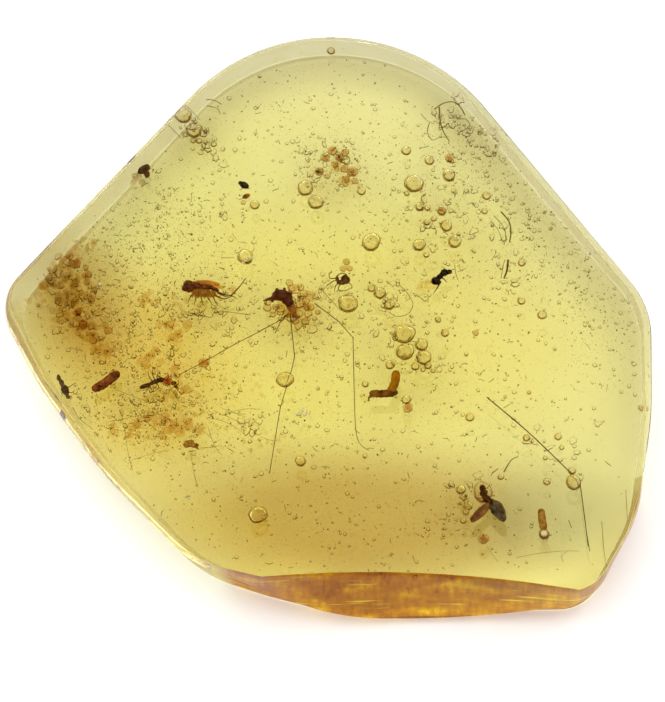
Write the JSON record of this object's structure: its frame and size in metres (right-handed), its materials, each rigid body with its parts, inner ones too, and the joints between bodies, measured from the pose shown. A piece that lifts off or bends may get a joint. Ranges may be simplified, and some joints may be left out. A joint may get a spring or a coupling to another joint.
{
  "type": "insect in copal",
  "caption": "Polished pebble of clear yellow copal with insects, frass pellets, bark and fibres sealed inside, lying on its flat back.",
  "frame": {"origin": "on the ground back face, under the middle of the bounding box", "axes": "+X along the long way of the pebble, +Y towards its rounded top end, +Z out of the polished front"},
  "size_m": [0.0906, 0.0835, 0.0158],
  "materials": {
    "copal": "polished clear yellow resin",
    "insect_brown": "red-brown chitin",
    "insect_dark": "near-black chitin",
    "frass": "compacted brown frass",
    "bark": "dull brown plant debris",
    "fibre": "fine tan fibre"
  },
  "bodies": {
    "root": {"copal_front": "copal", "copal_back": "copal", "long_legged_insect": "insect_brown", "planthopper": "insect_brown", "ant": "insect_brown", "winged_fly": "insect_brown", "spider": "insect_brown", "black_ant": "insect_dark", "gnat": "insect_dark", "beetle": "insect_dark", "seed_husk": "bark", "bark_crumb": "bark", "bark_flake": "bark", "frass_rod": "frass", "frass_elbow": "frass", "frass_drop": "frass", "long_fibre": "fibre", "short_fibre": "fibre"}
  },
  "joints": []
}
